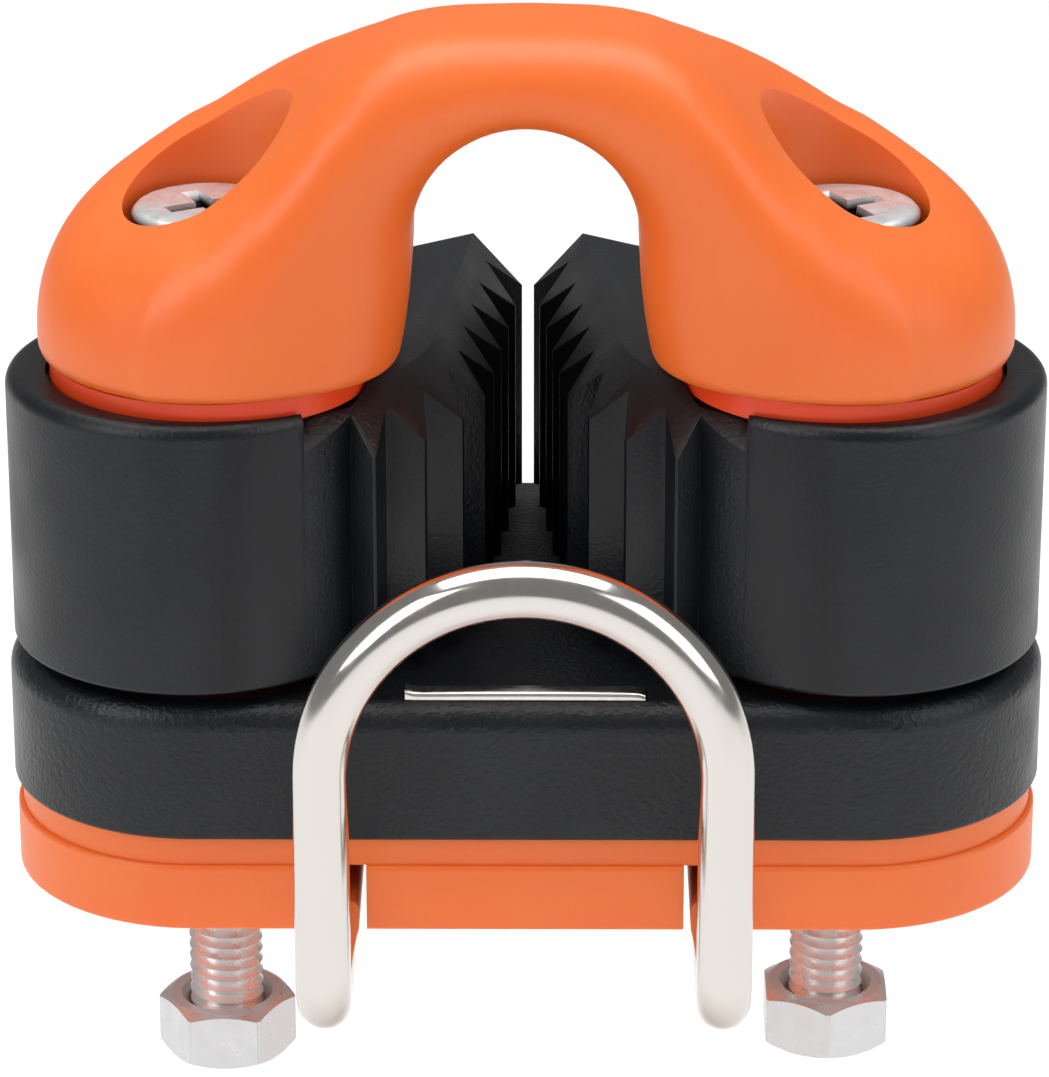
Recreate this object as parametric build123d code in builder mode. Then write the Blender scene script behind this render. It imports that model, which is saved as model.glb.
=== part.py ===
from build123d import *
import os
from math import asin, atan2, cos, hypot, pi, radians, sin, tan

os.makedirs("parts", exist_ok=True)

# A cam cleat for a small boat: two sprung toothed cams on ball races, a base, a moulded fairlead bridge over the
# rope, a wire bail in front and a wire carrier under the base, all clamped by two M5 screws.
# X runs from the left cam to the right cam, the bail stands at -Y, the cam noses point to +Y and Z is up.
# The origin lies on the deck face, midway between the two screws. All sizes are in millimetres.

# Body outline, seen from above
bolt_spacing = 40.0  # between the two screw axes
end_radius = 12.4  # rounded ends of the base
end_out = 1.2  # centres of those ends, outside the screws
end_back = 0.8  # and behind them

# Screws and nuts
bolt_diameter = 5.0
bolt_clearance = 0.25  # radial, in every hole that a screw passes
thread_drop = 0.06  # a rolled thread's crests lie this far inside the nominal radius
thread_root = 0.3  # and its root this far
shank_drop = 0.26  # the reduced shank is at the thread's pitch radius, this far inside
nut_fit = 0.02  # radial gap between a gripped thread and its nut
nut_across_flats = 8.0
nut_height = 4.0
left_grip = 10.1  # from the deck face to the left nut
right_grip = 9.2
bolt_end_cover = 1.2  # the nut reaches this far past the screw's end
head_radius = 4.9
head_height = 2.6
head_edge = 0.4
recess_length = 5.4
recess_width = 1.15
recess_depth = 1.6
recess_turn = 28.0  # degrees, how far the cross is turned

# Wire carrier, the orange plate against the deck
carrier_height = 6.4
carrier_band = 4.5  # height of the thicker lower band
carrier_step = 0.35  # how far the upper band is set in
carrier_inset = 0.15  # the carrier's outline lies this far inside the base's
carrier_edge = 0.3

# Wire bail
wire_diameter = 3.4
wire_off_deck = 0.05  # air between the buried wire and the deck
wire_clearance = 0.35  # beside the buried wire
bail_stand_off = 27.4  # the hoop in front of the screws
bail_half_width = 12.2  # centre line to a leg's centre
bail_apex = 30.3  # the wire's centre at the top of the hoop
bail_foot_bend = 3.5
bail_tail_bend = 3.4
eye_clearance = 0.2  # between the eye's wire and the screw
eye_wrap = 200.0  # degrees

# Base, the black moulding
base_height = 9.2
base_top_edge = 1.7
base_bottom_edge = 0.3
bed_width = 13.0  # tongue under the noses, where the rope leaves
bed_back = 29.0  # behind the screws
bed_thickness = 5.0
bed_corner = 4.0
bed_root = 3.0  # rounding where the tongue leaves the body
socket_radius = 4.6
socket_depth = 1.3
socket_clearance = 0.05

# Wear strip across the base's front edge, under the rope
strip_width = 15.2
strip_depth = 1.4
strip_front = 10.2  # in front of the screws
strip_height = 0.95
strip_sunk = 0.5  # depth of its groove
strip_clearance = 0.1
strip_corner = 0.3

# Cams
cam_gap = 0.8  # air between base and cam
cam_height = 18.1
drum_radius = 12.0
drum_out = 1.2  # the drum's centre, outside the pivot
drum_back = 0.3
jaw_slope = 0.1  # sideways for each millimetre along the straight jaw
jaw_tip_gap = 0.4  # from a nose to the centre line at the top
jaw_foot_gap = 0.1  # and at the bottom
jaw_nose = 25.4  # the nose tip behind the pivot
jaw_straight = 20.4  # the straight part of the jaw, along Y
jaw_radius = 18.3
jaw_arc = 47.0  # degrees
nose_back = 1.2  # the outer corner of the nose lies this much further back
nose_width = 4.1
tooth_count = 8
tooth_depth = 2.3
tooth_lean = 0.6  # where a notch's root lies, as a share of the pitch
tooth_flat = 0.25
first_notch = (1.4, 1.7)  # from the first tip to the root beside the drum
ramp_size = 3.5  # bevel from the cam's top down to the tooth tips
cam_top_edge = 1.0
cam_bottom_edge = 0.4

# Ball races
ball_diameter = 2.4
ball_clearance = 0.04
ball_pitch_radius = 8.4
ball_spacing = 0.2  # least air between neighbouring balls
race_spread = 8.2  # between the two rows
race_foot = 6.0  # the lower row above the cam's underside
post_inset = 0.9  # the post's surface inside the pitch circle
web_inset = 0.4  # the cam's web inside the pitch circle
flange_outset = 0.8  # the races' flanges outside the pitch circle
bore_clearance = 0.5  # between those flanges and the cam's bore
shoulder_drop = 0.7  # a flange's shoulder from the ball's centre
web_cover = 0.5  # the cam's web from the ball's centre
neck_inset = 0.7  # the hub's neck inside its post
flange_thickness = 1.3
spigot_radius = 5.0
spigot_clearance = 0.05
spigot_height = 2.6

# Race caps
cap_rim_radius = 10.3
cap_rim_stand = 1.0  # above the cam's top
cap_rim_height = 1.6
cap_rim_clearance = 0.3

# Torsion springs
spring_wire = 0.9
spring_pitch = 1.1
spring_turns = 3.0
spring_radius = 8.2
spring_foot_leg = 2.0
spring_cam_leg = 3.4
spring_seat = 0.25  # the coil above the base
spring_hole_clearance = 0.12
spring_leg_turn = 5.0  # degrees that each leg stands in from the coil's end

# Fairlead bridge
foot_radius = 11.0
foot_wall = 4.4  # height of the upright outer wall
bridge_slope = 32.0  # degrees
foot_round = 5.5
crown_round = 13.5
crown_thickness = 6.8
waist_half_depth = 6.9
waist_round = 8.0
arch_radius = 7.4
arch_rise = 14.9  # from the fairlead's feet to the arch's apex
well_radius = 5.4
well_floor = 7.1  # above the fairlead's feet
bridge_edge = 3.2  # rounding along the bar's front and back edges

# Heights above the deck
half_spacing = bolt_spacing / 2
bolt_radius = bolt_diameter / 2
hole_radius = bolt_radius + bolt_clearance
nut_thread_radius = bolt_radius - thread_root
shank_radius = bolt_radius - shank_drop
wire_radius = wire_diameter / 2
wire_rise = wire_radius + wire_off_deck
eye_radius = bolt_radius + wire_radius + eye_clearance
base_top = carrier_height + base_height
cam_bottom = base_top + cam_gap
cam_top = cam_bottom + cam_height
lower_row = cam_bottom + race_foot
upper_row = lower_row + race_spread
bridge_bottom = cam_top + cap_rim_stand
head_seat = bridge_bottom + well_floor
head_top = head_seat + head_height
bridge_top = bridge_bottom + arch_rise + crown_thickness

ball_radius = ball_diameter / 2
post_radius = ball_pitch_radius - post_inset
web_radius = ball_pitch_radius - web_inset
flange_radius = ball_pitch_radius + flange_outset
neck_radius = post_radius - neck_inset
balls_in_row = int(2 * pi * ball_pitch_radius / (ball_diameter + ball_spacing))
race_radius = ball_radius + ball_clearance
cam_bore_radius = flange_radius + bore_clearance
neck_top = lower_row - shoulder_drop - flange_thickness
cap_bottom = upper_row - shoulder_drop - 0.5 * ball_radius
spring_start = base_top + spring_seat + spring_wire / 2
spring_hole_radius = spring_wire / 2 + spring_hole_clearance
spring_end = spring_start + spring_pitch * spring_turns
foot_leg_angle = radians(spring_leg_turn)
cam_leg_angle = 2 * pi * spring_turns - radians(spring_leg_turn)

sides = (("left", -1, left_grip), ("right", 1, right_grip))


def body_outline(side_gap):
    """Sketch of the long rounded outline shared by base and carrier, made smaller all round by side_gap."""
    radius = end_radius - side_gap
    centre_x = half_spacing + end_out
    for end in (-1, 1):
        with Locations((end * centre_x, end_back)):
            Circle(radius)
    with Locations((0, end_back)):
        Rectangle(2 * centre_x, 2 * radius)


def jaw_point(along):
    """Point on the line of the tooth tips, from the first tip, with its direction, for a cam whose pivot is 0, 0."""
    nose_x = half_spacing - jaw_tip_gap
    joint_x = nose_x - jaw_slope * jaw_straight
    joint_y = jaw_nose - jaw_straight
    lean = atan2(jaw_slope, 1.0)
    centre_x = joint_x - jaw_radius * cos(lean)
    centre_y = joint_y + jaw_radius * sin(lean)
    arc_length = jaw_radius * radians(jaw_arc)
    if along < arc_length:
        angle = -lean - radians(jaw_arc) + along / jaw_radius
        x = centre_x + jaw_radius * cos(angle)
        y = centre_y + jaw_radius * sin(angle)
        return (x, y), (-sin(angle), cos(angle))
    rest = along - arc_length
    return (joint_x + rest * sin(lean), joint_y + rest * cos(lean)), (sin(lean), cos(lean))


jaw_length = jaw_radius * radians(jaw_arc) + jaw_straight * hypot(1.0, jaw_slope)
tooth_pitch = jaw_length / tooth_count


def cam_outline():
    """Toothed outline of the nose, from the root beside the drum round to the nose's outer corner."""
    (first_x, first_y), _ = jaw_point(0)
    points = [(first_x - first_notch[0], first_y + first_notch[1]), (first_x, first_y)]
    for tooth in range(tooth_count):
        along = tooth * tooth_pitch
        (x, y), (tx, ty) = jaw_point(along)
        lean = tooth_lean * tooth_pitch
        points.append((x + tooth_flat * tx, y + tooth_flat * ty))
        points.append((x + lean * tx - tooth_depth * ty, y + lean * ty + tooth_depth * tx))
        points.append(jaw_point(along + tooth_pitch)[0])
    nose_x, nose_y = points[-1]
    corner = (nose_x - nose_width, nose_y + nose_back)
    points.append(corner)
    # the back of the nose is tangent to the drum
    reach = hypot(corner[0] + drum_out, corner[1] - drum_back)
    bearing = atan2(corner[1] - drum_back, corner[0] + drum_out)
    touch = bearing + pi / 2 - asin(drum_radius / reach)
    points.append((drum_radius * cos(touch) - drum_out, drum_radius * sin(touch) + drum_back))
    points.append((-drum_out, drum_back))
    return points


# ---- carrier
with BuildPart() as carrier:
    with BuildSketch(Plane.XY):
        body_outline(carrier_inset)
    extrude(amount=carrier_band)
    fillet(carrier.faces().sort_by(Axis.Z)[-1].edges(), carrier_edge)
    fillet(carrier.faces().sort_by(Axis.Z)[0].edges(), carrier_edge)
    with BuildSketch(Plane.XY):
        body_outline(carrier_inset + carrier_step)
    extrude(amount=carrier_height)
    for name, side, grip in sides:
        tail_x = side * bail_half_width
        tail_turn = side * (bail_half_width + bail_tail_bend)
        with BuildSketch(Plane.XY):
            with BuildLine():
                leg = Line((tail_x, -end_radius - end_out), (tail_x, eye_radius - bail_tail_bend))
                turn = RadiusArc(leg @ 1, (tail_turn, eye_radius), side * bail_tail_bend)
                Line(turn @ 1, (side * half_spacing, eye_radius))
            trace(line_width=wire_diameter + 2 * wire_clearance)
            with Locations((side * half_spacing, 0)):
                Circle(eye_radius + wire_radius + wire_clearance)
        extrude(amount=carrier_band, mode=Mode.SUBTRACT)
        with BuildSketch(Plane.XY):
            with Locations((side * half_spacing, 0)):
                Circle(hole_radius)
        extrude(amount=carrier_height, mode=Mode.SUBTRACT)
carrier.part.label = "carrier"
export_step(carrier.part, "parts/carrier.step")

# ---- bail, one wire from eye to eye
hoop_centre = bail_apex - bail_half_width
with BuildPart() as bail:
    with BuildLine() as half_wire:
        quarter = ThreePointArc(
            (0, -bail_stand_off, bail_apex),
            (
                bail_half_width * sin(radians(45)),
                -bail_stand_off,
                hoop_centre + bail_half_width * cos(radians(45)),
            ),
            (bail_half_width, -bail_stand_off, hoop_centre),
        )
        leg = Line(quarter @ 1, (bail_half_width, -bail_stand_off, wire_rise + bail_foot_bend))
        bend_slack = bail_foot_bend * (1 - cos(radians(45)))
        foot = ThreePointArc(
            leg @ 1,
            (bail_half_width, -bail_stand_off + bend_slack, wire_rise + bend_slack),
            (bail_half_width, -bail_stand_off + bail_foot_bend, wire_rise),
        )
        tail = Line(foot @ 1, (bail_half_width, eye_radius - bail_tail_bend, wire_rise))
        turn_slack = bail_tail_bend * (1 - cos(radians(45)))
        turn = ThreePointArc(
            tail @ 1,
            (bail_half_width + turn_slack, eye_radius - turn_slack, wire_rise),
            (bail_half_width + bail_tail_bend, eye_radius, wire_rise),
        )
        run = Line(turn @ 1, (half_spacing, eye_radius, wire_rise))
        half_wrap = radians(90 - eye_wrap / 2)
        full_wrap = radians(90 - eye_wrap)
        ThreePointArc(
            run @ 1,
            (half_spacing + eye_radius * cos(half_wrap), eye_radius * sin(half_wrap), wire_rise),
            (half_spacing + eye_radius * cos(full_wrap), eye_radius * sin(full_wrap), wire_rise),
        )
    with BuildSketch(Plane(origin=half_wire.line @ 0, z_dir=half_wire.line % 0)):
        Circle(wire_radius)
    sweep()
    mirror(about=Plane.YZ)
bail.part.label = "wire_bail"
export_step(bail.part, "parts/wire_bail.step")

# ---- base
with BuildPart() as base:
    with BuildSketch(Plane.XY.offset(carrier_height)):
        body_outline(0)
    extrude(amount=base_height)
    with BuildSketch(Plane.XY.offset(base_top - bed_thickness)) as bed:
        with Locations((0, bed_back / 2)):
            Rectangle(bed_width, bed_back)
        fillet(bed.vertices().sort_by(Axis.Y)[-2:], bed_corner)
    extrude(amount=bed_thickness)
    bed_corners = base.edges().filter_by(Axis.Z).filter_by(lambda edge: 1 < edge.center().Y < bed_back - bed_corner)
    fillet(bed_corners, bed_root)
    fillet(base.faces().sort_by(Axis.Z)[-1].edges(), base_top_edge)
    fillet(base.faces().sort_by(Axis.Z)[0].edges(), base_bottom_edge)
    for name, side, grip in sides:
        with BuildSketch(Plane.XY.offset(carrier_height)):
            with Locations((side * half_spacing, 0)):
                Circle(hole_radius)
        extrude(amount=base_height, mode=Mode.SUBTRACT)
        with BuildSketch(Plane.XY.offset(base_top)):
            with Locations((side * half_spacing, 0)):
                Circle(socket_radius + socket_clearance)
            leg_x = side * (half_spacing - spring_radius * cos(foot_leg_angle))
            with Locations((leg_x, spring_radius * sin(foot_leg_angle))):
                Circle(spring_hole_radius)
        extrude(amount=-socket_depth - spring_foot_leg, mode=Mode.SUBTRACT)
        with BuildSketch(Plane.XY.offset(base_top - socket_depth)):
            with Locations((side * half_spacing, 0)):
                Circle(socket_radius + socket_clearance)
                Circle(hole_radius, mode=Mode.SUBTRACT)
        extrude(amount=-spring_foot_leg)
    with BuildSketch(Plane.XY.offset(base_top)):
        with Locations((0, strip_depth / 2 - strip_front)):
            Rectangle(strip_width + 2 * strip_clearance, strip_depth + 2 * strip_clearance)
    extrude(amount=-strip_sunk, mode=Mode.SUBTRACT)
base.part.label = "base"
export_step(base.part, "parts/base.step")

# ---- wear strip
with BuildPart() as wear_strip:
    with BuildSketch(Plane.XY.offset(base_top - strip_sunk)):
        with Locations((0, strip_depth / 2 - strip_front)):
            RectangleRounded(strip_width, strip_depth, strip_corner)
    extrude(amount=strip_height)
wear_strip.part.label = "wear_strip"
export_step(wear_strip.part, "parts/wear_strip.step")

for name, side, grip in sides:
    pivot_x = side * half_spacing

    # ---- cam: drum and toothed nose, bevelled down to the tooth tips, bored for the races and the spring
    def in_row(point):
        return (pivot_x - side * point[0], point[1])

    with BuildPart() as cam:
        with BuildSketch(Plane.XY.offset(cam_bottom)):
            with Locations(in_row((-drum_out, drum_back))):
                Circle(drum_radius)
            with BuildLine():
                Polyline([in_row(point) for point in cam_outline()], close=True)
            make_face()
        extrude(amount=cam_height)
        drum_top = cam.edges().group_by(Axis.Z)[-1].filter_by(GeomType.CIRCLE)
        fillet(drum_top, cam_top_edge)
        drum_foot = cam.edges().group_by(Axis.Z)[0].filter_by(GeomType.CIRCLE)
        fillet(drum_foot, cam_bottom_edge)
        # bevel along the jaw
        lean = atan2(jaw_slope, 1.0)
        start, heading = jaw_point(-tooth_pitch)
        joint, _ = jaw_point(jaw_radius * radians(jaw_arc))
        middle, _ = jaw_point((jaw_radius * radians(jaw_arc) - tooth_pitch) / 2)
        finish, _ = jaw_point(jaw_length + tooth_pitch)
        with BuildLine(Plane.XY.offset(cam_top)) as jaw_line:
            curve = ThreePointArc(in_row(start), in_row(middle), in_row(joint))
            Line(curve @ 1, in_row(finish))
        section = Plane(
            origin=jaw_line.line @ 0,
            x_dir=Vector(-side * heading[1], -heading[0], 0),
            z_dir=jaw_line.line % 0,
        )
        with BuildSketch(section):
            up = 1 if section.y_dir.Z > 0 else -1
            with BuildLine():
                Polyline(
                    (-ramp_size - 1, up * 1),
                    (3, up * 1),
                    (3, -up * (ramp_size + 3)),
                    close=True,
                )
            make_face()
        sweep(path=jaw_line.line, mode=Mode.SUBTRACT)
        # the noses part a little more at the top than at the bottom
        with BuildSketch(Plane.XZ.offset(-jaw_nose - 2 * tooth_pitch)):
            with BuildLine():
                Polyline(
                    (side * jaw_foot_gap, cam_bottom),
                    (side * jaw_tip_gap, cam_top),
                    (-side * tooth_pitch, cam_top),
                    (-side * tooth_pitch, cam_bottom),
                    close=True,
                )
            make_face()
        extrude(amount=2 * jaw_nose, mode=Mode.SUBTRACT)
        # bores, from the underside: spring and lower race, web, upper race, cap rim
        with BuildSketch(Plane.XY.offset(cam_bottom)):
            with Locations((pivot_x, 0)):
                Circle(cam_bore_radius)
        extrude(amount=race_foot + web_cover, mode=Mode.SUBTRACT)
        with BuildSketch(Plane.XY.offset(cam_bottom)):
            with Locations((pivot_x, 0)):
                Circle(web_radius)
        extrude(amount=cam_height, mode=Mode.SUBTRACT)
        with BuildSketch(Plane.XY.offset(upper_row - web_cover)):
            with Locations((pivot_x, 0)):
                Circle(cam_bore_radius)
        extrude(amount=cam_top - upper_row + web_cover, mode=Mode.SUBTRACT)
        rim_seat = bridge_bottom - cap_rim_height - cap_rim_clearance
        with BuildSketch(Plane.XY.offset(rim_seat)):
            with Locations((pivot_x, 0)):
                Circle(cap_rim_radius + cap_rim_clearance)
        extrude(amount=cam_top - rim_seat, mode=Mode.SUBTRACT)
        with Locations((pivot_x, 0, lower_row), (pivot_x, 0, upper_row)):
            Torus(ball_pitch_radius, race_radius, mode=Mode.SUBTRACT)
        # hole for the spring's upper leg, pointing along the nose
        leg_way = (-side * cos(cam_leg_angle), sin(cam_leg_angle), 0)
        leg_plane = Plane(origin=(pivot_x, 0, spring_end), z_dir=leg_way)
        with BuildSketch(leg_plane.offset(spring_radius)):
            Circle(spring_hole_radius)
        extrude(amount=spring_cam_leg + spring_hole_clearance, mode=Mode.SUBTRACT)
    cam.part.label = name + "_cam"
    export_step(cam.part, "parts/" + name + "_cam.step")

    # ---- hub: spigot in the base, neck inside the spring, lower race and post
    with BuildPart() as hub:
        with BuildSketch(Plane.XY.offset(base_top - socket_depth)):
            with Locations((pivot_x, 0)):
                Circle(socket_radius)
        extrude(amount=socket_depth)
        with BuildSketch(Plane.XY.offset(base_top)):
            with Locations((pivot_x, 0)):
                Circle(neck_radius)
        extrude(amount=neck_top - base_top)
        with BuildSketch(Plane.XY.offset(neck_top)):
            with Locations((pivot_x, 0)):
                Circle(flange_radius)
        extrude(amount=flange_thickness)
        with BuildSketch(Plane.XY.offset(neck_top)):
            with Locations((pivot_x, 0)):
                Circle(post_radius)
        extrude(amount=cap_bottom - neck_top)
        with BuildSketch(Plane.XY.offset(cap_bottom)):
            with Locations((pivot_x, 0)):
                Circle(spigot_radius)
        extrude(amount=spigot_height)
        with Locations((pivot_x, 0, lower_row)):
            Torus(ball_pitch_radius, race_radius, mode=Mode.SUBTRACT)
        with BuildSketch(Plane.XY.offset(base_top - socket_depth)):
            with Locations((pivot_x, 0)):
                Circle(hole_radius)
        extrude(amount=bridge_bottom, mode=Mode.SUBTRACT)
    hub.part.label = name + "_hub"
    export_step(hub.part, "parts/" + name + "_hub.step")

    # ---- race cap: upper race, and the rim that shows under the fairlead
    with BuildPart() as race_cap:
        with BuildSketch(Plane.XY.offset(cap_bottom)):
            with Locations((pivot_x, 0)):
                Circle(post_radius)
        extrude(amount=bridge_bottom - cap_bottom)
        with BuildSketch(Plane.XY.offset(upper_row + shoulder_drop)):
            with Locations((pivot_x, 0)):
                Circle(flange_radius)
        extrude(amount=bridge_bottom - upper_row - shoulder_drop)
        with BuildSketch(Plane.XY.offset(bridge_bottom - cap_rim_height)):
            with Locations((pivot_x, 0)):
                Circle(cap_rim_radius)
        extrude(amount=cap_rim_height)
        with Locations((pivot_x, 0, upper_row)):
            Torus(ball_pitch_radius, race_radius, mode=Mode.SUBTRACT)
        with BuildSketch(Plane.XY.offset(cap_bottom)):
            with Locations((pivot_x, 0)):
                Circle(spigot_radius + spigot_clearance)
        extrude(amount=spigot_height + spigot_clearance, mode=Mode.SUBTRACT)
        with BuildSketch(Plane.XY.offset(cap_bottom)):
            with Locations((pivot_x, 0)):
                Circle(hole_radius)
        extrude(amount=bridge_bottom, mode=Mode.SUBTRACT)
    race_cap.part.label = name + "_race_cap"
    export_step(race_cap.part, "parts/" + name + "_race_cap.step")

    # ---- two rows of balls
    for row, height in (("lower", lower_row), ("upper", upper_row)):
        with BuildPart(Plane(origin=(pivot_x, 0, height))) as balls:
            with PolarLocations(ball_pitch_radius, balls_in_row):
                Sphere(ball_radius)
        balls.part.label = name + "_" + row + "_balls"
        export_step(balls.part, "parts/" + name + "_" + row + "_balls.step")

    # ---- screw: pan head with a cross recess, plain through the stack, threaded below it
    with BuildPart() as screw:
        with BuildSketch(Plane.XY.offset(head_seat)):
            with Locations((pivot_x, 0)):
                Circle(head_radius)
        extrude(amount=head_height)
        fillet(screw.faces().sort_by(Axis.Z)[-1].edges(), head_edge)
        with BuildSketch(Plane.XY.offset(head_top)):
            with Locations(Location((pivot_x, 0, 0), recess_turn)):
                Rectangle(recess_length, recess_width)
                Rectangle(recess_width, recess_length)
        extrude(amount=-recess_depth, mode=Mode.SUBTRACT)
        with BuildSketch(Plane.XY):
            with Locations((pivot_x, 0)):
                Circle(shank_radius)
        extrude(amount=head_seat)
        with BuildSketch(Plane.XY):
            with Locations((pivot_x, 0)):
                Circle(bolt_radius - thread_drop)
        extrude(amount=-grip)
        with BuildSketch(Plane.XY.offset(-grip)):
            with Locations((pivot_x, 0)):
                Circle(nut_thread_radius)
        extrude(amount=bolt_end_cover - nut_height)
    screw.part.label = name + "_screw"
    export_step(screw.part, "parts/" + name + "_screw.step")

    # ---- nut; the left one shows a flat to the front and the right one a corner
    with BuildPart() as nut:
        corner_radius = nut_across_flats / 2 / cos(radians(30))
        with BuildSketch(Plane.XY.offset(-grip - nut_height)):
            with Locations(Location((pivot_x, 0, 0), 0 if side < 0 else 30)):
                RegularPolygon(corner_radius, 6)
        extrude(amount=nut_height)
        with BuildSketch(Plane.XY.offset(-grip - nut_height)):
            with Locations((pivot_x, 0)):
                Circle(nut_thread_radius + nut_fit)
        extrude(amount=nut_height, mode=Mode.SUBTRACT)
    nut.part.label = name + "_nut"
    export_step(nut.part, "parts/" + name + "_nut.step")

# ---- torsion springs: a leg down into the base, the coil, and a leg out into the cam
with BuildPart() as left_spring:
    with BuildLine() as coil_line:
        Helix(
            spring_pitch,
            spring_pitch * spring_turns,
            spring_radius,
            center=(-half_spacing, 0, spring_start),
        )
    with BuildSketch(Plane(origin=coil_line.line @ 0, z_dir=coil_line.line % 0)):
        Circle(spring_wire / 2)
    sweep(is_frenet=True)
    leg_x = spring_radius * cos(foot_leg_angle) - half_spacing
    with BuildSketch(Plane.XY.offset(spring_start)):
        with Locations((leg_x, spring_radius * sin(foot_leg_angle))):
            Circle(spring_wire / 2)
    extrude(amount=-spring_foot_leg)
    leg_way = (cos(cam_leg_angle), sin(cam_leg_angle), 0)
    leg_plane = Plane(origin=(-half_spacing, 0, spring_end), z_dir=leg_way)
    with BuildSketch(leg_plane.offset(spring_radius)):
        Circle(spring_wire / 2)
    extrude(amount=spring_cam_leg)
left_spring.part.label = "left_spring"
export_step(left_spring.part, "parts/left_spring.step")

with BuildPart() as right_spring:
    mirror(left_spring.part, about=Plane.YZ)
right_spring.part.label = "right_spring"
export_step(right_spring.part, "parts/right_spring.step")

# ---- fairlead: a bridge with round feet, an arch for the rope and two wells for the screw heads
slope = radians(bridge_slope)
wall_x = half_spacing + foot_radius
knee_z = bridge_bottom + foot_wall + foot_round * tan(pi / 4 - slope / 2)
shoulder_x = wall_x - (bridge_top - knee_z) / tan(slope)
with BuildPart() as fairlead:
    with BuildSketch(Plane.XZ):
        with BuildLine():
            FilletPolyline(
                (wall_x, bridge_bottom),
                (wall_x, knee_z),
                (shoulder_x, bridge_top),
                (0, bridge_top),
                radius=[foot_round, crown_round],
            )
            Line((0, bridge_top), (0, bridge_bottom))
            Line((0, bridge_bottom), (wall_x, bridge_bottom))
        make_face()
        mirror(about=Plane.YZ)
        with Locations((0, bridge_bottom + arch_rise - arch_radius)):
            Circle(arch_radius, mode=Mode.SUBTRACT)
        with Locations((0, bridge_bottom + (arch_rise - arch_radius) / 2)):
            Rectangle(2 * arch_radius, arch_rise - arch_radius, mode=Mode.SUBTRACT)
    extrude(amount=foot_radius, both=True)
    with BuildSketch(Plane.XY.offset(bridge_bottom)) as plan:
        Rectangle(bolt_spacing, 2 * waist_half_depth)
        with GridLocations(bolt_spacing, 0, 2, 1):
            Circle(foot_radius)
        corners = plan.vertices().filter_by(lambda v: abs(abs(v.Y) - waist_half_depth) < 0.01)
        fillet(corners, waist_round)
    extrude(amount=bridge_top - bridge_bottom, mode=Mode.INTERSECT)
    above_feet = fairlead.edges().filter_by(lambda edge: edge.center().Z > bridge_bottom + 0.1)
    fillet(above_feet, bridge_edge)
    with BuildSketch(Plane.XY.offset(head_seat)):
        with GridLocations(bolt_spacing, 0, 2, 1):
            Circle(well_radius)
    extrude(amount=bridge_top, mode=Mode.SUBTRACT)
    with BuildSketch(Plane.XY.offset(bridge_bottom)):
        with GridLocations(bolt_spacing, 0, 2, 1):
            Circle(hole_radius)
    extrude(amount=bridge_top, mode=Mode.SUBTRACT)
fairlead.part.label = "fairlead"
export_step(fairlead.part, "parts/fairlead.step")
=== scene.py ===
import math

import bmesh
import bpy
import numpy as np
from mathutils import Matrix, Vector


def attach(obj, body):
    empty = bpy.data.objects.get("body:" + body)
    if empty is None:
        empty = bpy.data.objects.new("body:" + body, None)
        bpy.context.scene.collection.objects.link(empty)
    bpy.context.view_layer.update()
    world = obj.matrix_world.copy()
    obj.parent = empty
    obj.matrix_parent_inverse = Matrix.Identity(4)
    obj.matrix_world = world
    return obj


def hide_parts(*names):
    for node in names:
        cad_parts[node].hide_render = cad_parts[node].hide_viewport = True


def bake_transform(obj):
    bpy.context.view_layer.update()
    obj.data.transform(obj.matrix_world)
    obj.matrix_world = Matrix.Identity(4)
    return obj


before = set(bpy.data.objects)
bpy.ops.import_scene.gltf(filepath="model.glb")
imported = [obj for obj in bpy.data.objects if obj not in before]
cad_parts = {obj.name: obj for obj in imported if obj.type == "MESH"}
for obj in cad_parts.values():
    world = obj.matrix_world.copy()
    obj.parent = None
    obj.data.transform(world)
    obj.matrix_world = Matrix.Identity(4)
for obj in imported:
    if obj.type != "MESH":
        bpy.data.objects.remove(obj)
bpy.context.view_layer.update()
print("frame loaded:", len(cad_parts), "nodes")

mm = 0.001
sides = {"left": -1, "right": 1}
screwAt = 20  # mm from the middle to each screw


# small helpers
def toLinear(hexColour):
    values = [int(hexColour[i:i + 2], 16) / 255 for i in (1, 3, 5)]
    return [v / 12.92 if v <= 0.04045 else ((v + 0.055) / 1.055) ** 2.4 for v in values] + [1.0]


def addNode(tree, kind, settings=None, values=None, links=None):
    node = tree.nodes.new(kind)
    for key, value in (settings or {}).items():
        setattr(node, key, value)
    for key, value in (values or {}).items():
        node.inputs[key].default_value = value
    for key, source in (links or {}).items():
        tree.links.new(source, node.inputs[key])
    return node


def newMaterial(name, values):
    material = bpy.data.materials.new(name)
    material.use_nodes = True
    tree = material.node_tree
    shader = tree.nodes["Principled BSDF"]
    for key, value in values.items():
        shader.inputs[key].default_value = value
    place = addNode(tree, "ShaderNodeTexCoord")
    return material, tree, shader, place.outputs["Object"]


def asPiece(name, mesh, body, material, nodes):
    piece = bpy.data.objects.new(name, mesh)
    bpy.context.scene.collection.objects.link(piece)
    mesh.materials.clear()
    mesh.materials.append(material)
    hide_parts(*nodes)
    if body:
        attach(piece, body)
    return piece


def settled(source, modifiers=()):
    # applies the modifiers and returns the plain mesh
    holder = bpy.data.objects.new("holder", source)
    bpy.context.scene.collection.objects.link(holder)
    for kind, settings in modifiers:
        modifier = holder.modifiers.new(kind.title(), kind)
        for key, value in settings.items():
            setattr(modifier, key, value)
    graph = bpy.context.evaluated_depsgraph_get()
    mesh = bpy.data.meshes.new_from_object(holder.evaluated_get(graph), depsgraph=graph)
    bpy.data.objects.remove(holder)
    return mesh


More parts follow.
